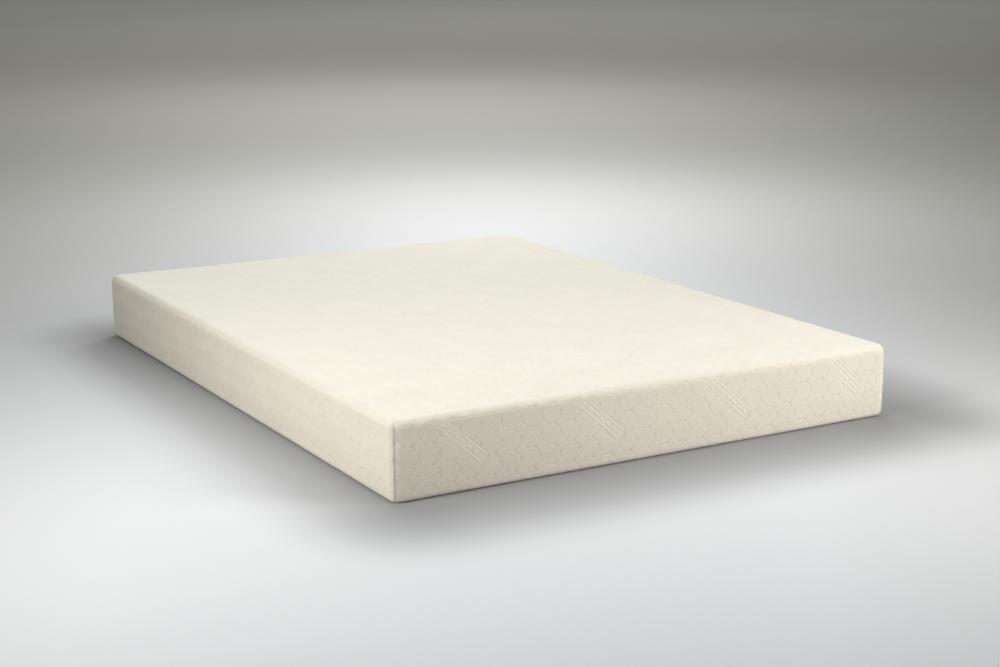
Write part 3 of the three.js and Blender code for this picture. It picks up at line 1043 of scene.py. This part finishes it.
def cast_block(low, high, nose=1.0):
    """One block of the casting; nose narrows its left end."""
    low, high = Vector(low), Vector(high)
    middle = (low + high) / 2
    block = plain_box("casting_block", middle, high - low)
    for vert in block.data.vertices:
        if vert.co.x < middle.x:
            vert.co.z = middle.z + nose * (vert.co.z - middle.z)
    return block


def cast_bridge():
    """A flat bar bent over the wing into a low arch."""
    start = slider_low.x + bridge_inset
    end = slider_high.x - bridge_inset
    middle_x = (start + end) / 2
    size = (end - start, bridge_thick, bridge_wide)
    bridge = plain_box("casting_bridge", (middle_x, 0, slider_middle.z), size)
    subdivide(15)
    rise = slider_high.y - wing_front - bridge_thick / 2
    for vert in bridge.data.vertices:
        t = (vert.co.x - middle_x) / ((end - start) / 2)
        vert.co.y += wing_front + rise * max(0, 1 - abs(t) ** 3.2) ** 0.55
    return bridge


def cast_slider():
    """The wings, post, flanges and bridge, run together and softened as a casting is."""
    x0, x1, z0, z1 = slider_low.x, slider_high.x, slider_low.z, slider_high.z
    back, front, middle_z = slider_low.y, wing_front, slider_middle.z
    post_low = (x0 + post_start, back, middle_z - post_half)
    post_high = (x0 + post_end, front, middle_z + post_half)
    blocks = [
        cast_block((x0, front - wing_thick, z0), (x1, front, z1), wing_nose),
        cast_block((x0, back, z0), (x1, back + wing_thick, z1), wing_nose),
        cast_block(post_low, post_high),
    ]
    for low_z, high_z in ((z0, z0 + flange_wide), (z1 - flange_wide, z1)):
        for low_y, high_y in ((back, back + flange_deep), (front - flange_deep, front)):
            blocks.append(cast_block((x0 + flange_start, low_y, low_z), (x1, high_y, high_z)))
    blocks.append(cast_bridge())
    deselect()
    for block in blocks:
        block.select_set(True)
    bpy.context.view_layer.objects.active = blocks[0]
    bpy.ops.object.join()
    slider = bpy.context.object
    slider.name = "slider_casting"
    cast = slider.modifiers.new("cast", "REMESH")
    cast.mode, cast.voxel_size = "VOXEL", slider_grain
    soft = slider.modifiers.new("soft", "SMOOTH")
    soft.factor, soft.iterations = 0.5, 4
    apply_all(slider)
    bpy.ops.object.shade_smooth()
    return slider


def zinc_finish():
    """Bright zinc plate, faintly pebbled and duller where it is rubbed."""
    mat, shader, add, link = new_material("bright_zinc", 0.3)
    shader.inputs["Metallic"].default_value = 1.0
    place = add("TexCoord").outputs["Object"]
    rub = add("TexNoise", {"Vector": place, "Scale": 700.0, "Detail": 5.0}).outputs["Fac"]
    tint(shader, add, link, rub, (0.60, 0.60, 0.59), (0.80, 0.80, 0.78))
    dull = add("MapRange", {"Value": rub, "To Min": 0.22, "To Max": 0.42}).outputs[0]
    link(dull, shader.inputs["Roughness"])
    bump_into(shader, add, link, [(rub, 0.15, 0.0001)])
    return mat


zinc = zinc_finish()
slider = cast_slider()
slider.data.materials.append(zinc)
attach(slider, "slider")
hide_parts("zip_slider")


# ---------------------------------------------------------------- zip pull
# The pull is a pressed zinc tag with rounded corners. The bar across its eye passes under the
# slider's bridge and is what it swings on.
pull_low, pull_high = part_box("zip_pull")
eye_start, eye_end, eye_half = 0.0014, 0.0077, 0.0018
far_corner, near_corner = 0.0028, 0.001


def zinc_pull():
    """A flat tag, rounder at its far end, with the eye cut through near the other."""
    middle = (pull_low + pull_high) / 2
    pull = plain_box("pull_tag", middle, pull_high - pull_low)
    mesh = bmesh.new()
    mesh.from_mesh(pull.data)
    upright = [e for e in mesh.edges if abs(e.verts[0].co.y - e.verts[1].co.y) > 0.001]
    far = [e for e in upright if e.verts[0].co.x > middle.x]
    near = [e for e in upright if e.verts[0].co.x < middle.x]
    bmesh.ops.bevel(mesh, geom=far, offset=far_corner, segments=8, profile=0.5, affect="EDGES")
    near = [e for e in near if e.is_valid]
    bmesh.ops.bevel(mesh, geom=near, offset=near_corner, segments=4, profile=0.5, affect="EDGES")
    mesh.to_mesh(pull.data)
    mesh.free()
    eye_low = Vector((pull_low.x + eye_start, pull_low.y - 0.001, middle.z - eye_half))
    eye_high = Vector((pull_low.x + eye_end, pull_high.y + 0.001, middle.z + eye_half))
    eye = plain_box("pull_eye", (eye_low + eye_high) / 2, eye_high - eye_low)
    cut = pull.modifiers.new("eye", "BOOLEAN")
    cut.object, cut.operation, cut.solver = eye, "DIFFERENCE", "EXACT"
    ease_edges(pull, 0.0003, 3)
    apply_all(pull)
    bpy.ops.object.shade_smooth_by_angle(angle=math.radians(40))
    bpy.data.objects.remove(eye)
    return pull


pull = zinc_pull()
pull.data.materials.append(zinc)
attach(pull, "pull")
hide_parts("zip_pull")


# ---------------------------------------------------------------- labels
# Two blank woven labels are sewn flat to the head panel above the zip: the large one that gives
# the filling, and the small one that gives the washing care. Nothing is printed on them here.
satin_pale, satin_dark = (0.86, 0.86, 0.84), (0.76, 0.76, 0.74)
label_finish = cloth_finish("label_satin", satin_pale, satin_dark, 0.0005, rough=0.55)
for name in ("law_label", "care_label"):
    low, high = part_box(name)
    label = sewn_patch(f"{name}_cloth", low, high, 0.0025, 0.0007)
    label.data.materials.append(label_finish)
    label_seam = stitching(f"{name}_stitches", seam_round(low, high, 0.0025, high.y + 0.0002))
    label_seam.data.materials.append(thread_finish)
    for piece in (label, label_seam):
        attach(piece, "mattress")
    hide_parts(name)


# ---------------------------------------------------------------- floor and light
# A pale studio floor that curves up into a wall all round, with a painted pool of light round the
# mattress that darkens out to the wall, and a painted shadow round the mattress. Four wide soft
# lights hang over it, from overhead to far behind, and weaker ones fill in at the front, the left and
# the right.
room_radius, room_height, cove = 36.0, 8.0, 5.0


def studio_floor():
    """An open cylinder with a coved foot, its faces turned inwards."""
    deselect()
    bpy.ops.mesh.primitive_cylinder_add(vertices=96, radius=room_radius, depth=room_height,
                                        location=(0, 0, room_height / 2))
    floor = bpy.context.object
    floor.name = "studio_floor"
    bpy.ops.object.transform_apply(location=True, rotation=True, scale=True)
    mesh = bmesh.new()
    mesh.from_mesh(floor.data)
    lid = [f for f in mesh.faces if f.normal.z > 0.9]
    bmesh.ops.delete(mesh, geom=lid, context="FACES_ONLY")
    foot = [e for e in mesh.edges if max(v.co.z for v in e.verts) < 0.01]
    bmesh.ops.bevel(mesh, geom=foot, offset=cove, segments=16, profile=0.5, affect="EDGES")
    bmesh.ops.reverse_faces(mesh, faces=mesh.faces)
    mesh.to_mesh(floor.data)
    mesh.free()
    bpy.ops.object.shade_smooth()
    return floor


def floor_finish():
    """Pale grey paper with a painted pool of light and a painted shadow round the mattress."""
    mat, shader, add, link = new_material("studio_paper", 0.75)
    place = add("TexCoord").outputs["Object"]
    # Painted pool of light: the paper is palest in a long pool round the mattress, turned with the
    # camera's heading, and painted darker out to the wall.
    pool = {"Vector": place, "Location": (-0.5, -0.9, 0)}
    pool.update({"Rotation": (0, 0, heading), "Scale": (1, 2.8, 1)})
    pool = add("Mapping", pool, vector_type="TEXTURE").outputs[0]
    away = add("VectorMath", {0: pool}, operation="LENGTH").outputs["Value"]
    far = add("MapRange", {"Value": away, "From Max": 10.0}).outputs[0]
    ramp = add("ValToRGB", {"Fac": far})
    stops = [(0.08, (0.74, 0.745, 0.755)), (0.14, (0.62, 0.62, 0.62)), (0.20, (0.56, 0.56, 0.54)),
             (0.28, (0.54, 0.535, 0.50)), (0.64, (0.46, 0.46, 0.41)), (0.95, (0.36, 0.37, 0.32))]
    while len(ramp.color_ramp.elements) < len(stops):
        ramp.color_ramp.elements.new(0.5)
    for element, (at, colour) in zip(ramp.color_ramp.elements, stops):
        element.position = at
        element.color = (*colour, 1)
    # Painted shadow: the paper is darkened to 0.43 at the mattress's edge, a little off to the right
    # front, and fades out over 0.42 m.
    aside = add("VectorMath", {0: place, 1: (0.05, -0.04, 0)}, operation="SUBTRACT").outputs[0]
    inside = add("VectorMath", {0: aside}, operation="ABSOLUTE").outputs[0]
    block = (half_width, half_length, 9.0)
    beside = add("VectorMath", {0: inside, 1: block}, operation="SUBTRACT").outputs[0]
    beside = add("VectorMath", {0: beside, 1: (0, 0, 0)}, operation="MAXIMUM").outputs[0]
    reach = add("VectorMath", {0: beside}, operation="LENGTH").outputs["Value"]
    painted_shadow_fade = {"Value": reach, "From Max": 0.42, "To Min": 0.43, "To Max": 1.0}
    patch = add("MapRange", painted_shadow_fade, interpolation_type="SMOOTHSTEP").outputs[0]
    paper_with_painted_light_and_shadow = {0: 1.0, 6: ramp.outputs["Color"], 7: patch}
    tone = add("Mix", paper_with_painted_light_and_shadow, data_type="RGBA", blend_type="MULTIPLY")
    link(tone.outputs[2], shader.inputs["Base Color"])
    return mat


def soft_light(name, place, target, size, power, colour, spread=180):
    """An unseen rectangle of light that looks at its target, its beam as wide as spread."""
    light = bpy.data.objects.new(name, bpy.data.lights.new(name, "AREA"))
    bpy.context.collection.objects.link(light)
    light.location = place
    light.rotation_euler = (Vector(target) - Vector(place)).to_track_quat("-Z", "Y").to_euler()
    light.data.shape = "RECTANGLE"
    light.data.size, light.data.size_y = size
    light.data.energy = power
    light.data.color = colour
    light.data.spread = math.radians(spread)
    light.visible_camera = False


floor = studio_floor()
floor.data.materials.append(floor_finish())
soft_light("key_light", (-0.6, 0.4, 4.4), (-0.5, 0.1, 0), (3.5, 3.5), 75, (0.91, 0.95, 1))
soft_light("back_light", (1.7, 2.6, 2.4), (1.7, 2.6, 0), (1.8, 1.8), 62, (1, 1, 0.99))
soft_light("middle_light", (3.6, 6.8, 3.4), (3.6, 6.8, 0), (4.0, 4.0), 88, (1, 1, 0.97))
soft_light("far_light", (12, 20, 10), (12, 20, 0), (26, 22), 1600, (1, 1, 0.96))
soft_light("front_light", (0.2, -4.1, 2.8), (-0.1, -2.5, 0), (2.0, 2.0), 17, (0.95, 0.97, 1), 150)
soft_light("left_light", (-3.6, -1.1, 2.1), (-0.76, -0.7, 0.15), (1.4, 1.0), 20, (1, 0.985, 0.955), 80)
soft_light("right_light", (2.0, -3.0, 1.4), (0.4, -1.0, 0.1), (1.2, 0.8), 17, (1, 0.985, 0.955), 90)

world = bpy.data.worlds.new("studio")
bpy.context.scene.world = world
world.use_nodes = True
world.node_tree.nodes["Background"].inputs["Color"].default_value = (0.97, 0.98, 1, 1)
world.node_tree.nodes["Background"].inputs["Strength"].default_value = 0.03
bpy.context.scene.view_settings.view_transform = "Standard"
